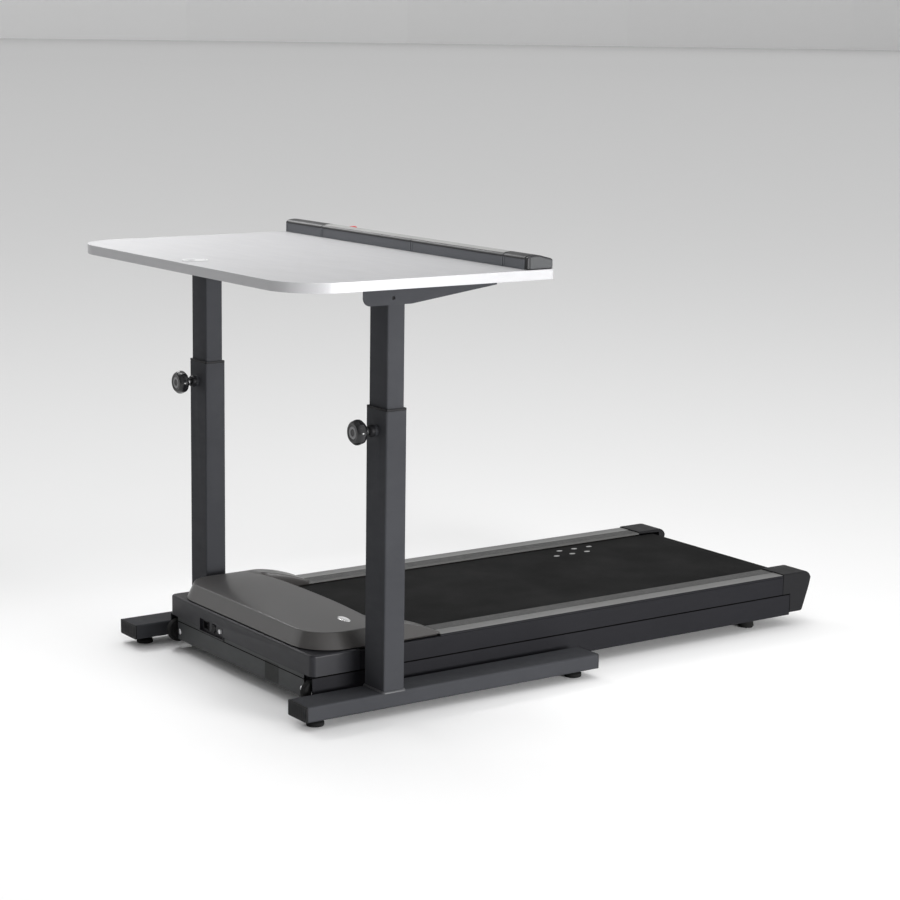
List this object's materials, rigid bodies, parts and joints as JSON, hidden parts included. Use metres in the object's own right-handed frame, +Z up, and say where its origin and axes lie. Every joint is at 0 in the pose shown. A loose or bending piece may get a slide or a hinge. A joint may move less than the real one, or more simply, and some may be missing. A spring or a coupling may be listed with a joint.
{
  "type": "treadmill",
  "caption": "Low walking treadmill with a motor hood at its head, under a height-adjustable standing desk on two telescoping legs with a control bar on the user's edge.",
  "frame": {"origin": "centre of the whole object's footprint, on the floor", "axes": "+Z up, -Y the way the walker faces (the motor end), +X the walker's left"},
  "size_m": [1.141, 1.82, 1.111],
  "materials": {
    "white_laminate": "satin white laminate on board",
    "white_plastic": "satin white moulding",
    "powder_coat": "fine-texture charcoal powder coat",
    "black_plastic": "fine-grain moulded plastic",
    "cover_plastic": "fine-grain graphite moulding",
    "skirt_plastic": "satin black extrusion",
    "hood_plastic": "satin graphite moulding",
    "rail_grey": "metallic grey, ribbed",
    "console_slate": "slate moulded plastic",
    "display_lens": "gloss smoked window",
    "key_grey": "matte key",
    "safety_red": "gloss",
    "rubber": "matte rubber",
    "belt_black": "textured walking belt",
    "deck_panel": "black waxed board",
    "frame_black": "satin black paint",
    "bright_steel": "machined steel",
    "controller_alloy": "finned heat sink"
  },
  "bodies": {
    "base": {"bar_cap_front_left": "black_plastic", "bar_cap_front_right": "black_plastic", "bar_cap_rear_left": "black_plastic", "bar_cap_rear_right": "black_plastic", "base_foot_front_left": "rubber", "base_foot_front_right": "rubber", "base_foot_rear_left": "rubber", "base_foot_rear_right": "rubber", "base_rail_left": "frame_black", "base_rail_right": "frame_black", "belly_pan": "cover_plastic", "deck_board": "deck_panel", "drive_belt": "rubber", "foot_rail_left": "rail_grey", "foot_rail_right": "rail_grey", "front_axle": "bright_steel", "front_cover": "cover_plastic", "glide_front_left": "rubber", "glide_front_right": "rubber", "glide_rear_left": "rubber", "glide_rear_right": "rubber", "guide_bush_left": "black_plastic", "guide_bush_right": "black_plastic", "lower_leg_left": "powder_coat", "lower_leg_right": "powder_coat", "motor_can": "frame_black", "motor_controller": "controller_alloy", "motor_hood": "hood_plastic", "motor_tray": "frame_black", "power_inlet": "black_plastic", "rear_axle": "bright_steel", "rear_cap_left": "black_plastic", "rear_cap_right": "black_plastic", "side_skirt_left": "skirt_plastic", "side_skirt_right": "skirt_plastic", "walking_belt": "belt_black"},
    "desk": {"desktop": "white_laminate", "cable_grommet": "white_plastic", "desk_crossbeam": "powder_coat", "console_housing": "console_slate", "console_end_right": "console_slate", "console_end_left": "console_slate", "display_window": "display_lens", "upper_leg_left": "powder_coat", "upper_leg_right": "powder_coat"},
    "start_stop_key": {"start_stop_key": "key_grey"},
    "faster_key": {"faster_key": "key_grey"},
    "slower_key": {"slower_key": "key_grey"},
    "safety_key": {"safety_key": "safety_red"},
    "clamp_pad_left": {"clamp_pad_left": "bright_steel"},
    "clamp_pad_right": {"clamp_pad_right": "bright_steel"},
    "clamp_knob_left": {"clamp_knob_left": "black_plastic"},
    "clamp_knob_right": {"clamp_knob_right": "black_plastic"},
    "front_roller": {"front_roller": "bright_steel"},
    "rear_roller": {"rear_roller": "bright_steel"},
    "motor_rotor": {"motor_rotor": "bright_steel"},
    "transport_wheel_left": {"transport_wheel_left": "rubber"},
    "transport_wheel_right": {"transport_wheel_right": "rubber"},
    "power_rocker": {"power_rocker": "black_plastic"},
    "breaker_button": {"breaker_button": "black_plastic"}
  },
  "joints": [
    {"name": "desk_height", "type": "slide", "parent": "base", "child": "desk", "axis": [0, 0, 1], "range_m": [-0.048, 0.321]},
    {"name": "start_stop_press", "type": "slide", "parent": "desk", "child": "start_stop_key", "axis": [0, 0, -1], "range_m": [0, 0.0015], "stiffness_N_per_m": 600},
    {"name": "faster_press", "type": "slide", "parent": "desk", "child": "faster_key", "axis": [0, 0, -1], "range_m": [0, 0.0015], "stiffness_N_per_m": 600},
    {"name": "slower_press", "type": "slide", "parent": "desk", "child": "slower_key", "axis": [0, 0, -1], "range_m": [0, 0.0015], "stiffness_N_per_m": 600},
    {"name": "safety_key_pull", "type": "slide", "parent": "desk", "child": "safety_key", "axis": [0, 0, 1], "range_m": [0, 0.02]},
    {"name": "clamp_pad_left_slide", "type": "slide", "parent": "base", "child": "clamp_pad_left", "axis": [0, -1, 0], "range_m": [0, 0.00525]},
    {"name": "clamp_knob_left_turn", "type": "hinge", "parent": "clamp_pad_left", "child": "clamp_knob_left", "pos_m": [0.438, -0.674, 0.7], "axis": [0, -1, 0], "range_deg": [0, 1080]},
    {"name": "clamp_pad_right_slide", "type": "slide", "parent": "base", "child": "clamp_pad_right", "axis": [0, -1, 0], "range_m": [0, 0.00525]},
    {"name": "clamp_knob_right_turn", "type": "hinge", "parent": "clamp_pad_right", "child": "clamp_knob_right", "pos_m": [-0.438, -0.674, 0.7], "axis": [0, -1, 0], "range_deg": [0, 1080]},
    {"name": "front_roller_spin", "type": "hinge", "parent": "base", "child": "front_roller", "pos_m": [0, -0.55, 0.108], "axis": [1, 0, 0], "continuous": true},
    {"name": "rear_roller_spin", "type": "hinge", "parent": "base", "child": "rear_roller", "pos_m": [0, 0.85, 0.108], "axis": [1, 0, 0], "continuous": true},
    {"name": "motor_spin", "type": "hinge", "parent": "base", "child": "motor_rotor", "pos_m": [0, -0.655, 0.11], "axis": [1, 0, 0], "continuous": true},
    {"name": "transport_wheel_left_spin", "type": "hinge", "parent": "base", "child": "transport_wheel_left", "pos_m": [0.342, -0.723, 0.05], "axis": [1, 0, 0], "continuous": true},
    {"name": "transport_wheel_right_spin", "type": "hinge", "parent": "base", "child": "transport_wheel_right", "pos_m": [-0.342, -0.723, 0.05], "axis": [1, 0, 0], "continuous": true},
    {"name": "power_rocker_tip", "type": "hinge", "parent": "base", "child": "power_rocker", "pos_m": [-0.138, -0.723, 0.1], "axis": [1, 0, 0], "range_deg": [0, 12]},
    {"name": "breaker_press", "type": "slide", "parent": "base", "child": "breaker_button", "axis": [0, 1, 0], "range_m": [0, 0.003], "stiffness_N_per_m": 500}
  ],
  "couplings": [
    {"joint": "clamp_pad_left_slide", "follows": "clamp_knob_left_turn", "m_per_rad": 0.00027852},
    {"joint": "clamp_pad_right_slide", "follows": "clamp_knob_right_turn", "m_per_rad": 0.00027852},
    {"joint": "rear_roller_spin", "follows": "front_roller_spin", "ratio": 1},
    {"joint": "motor_spin", "follows": "front_roller_spin", "ratio": 3}
  ]
}
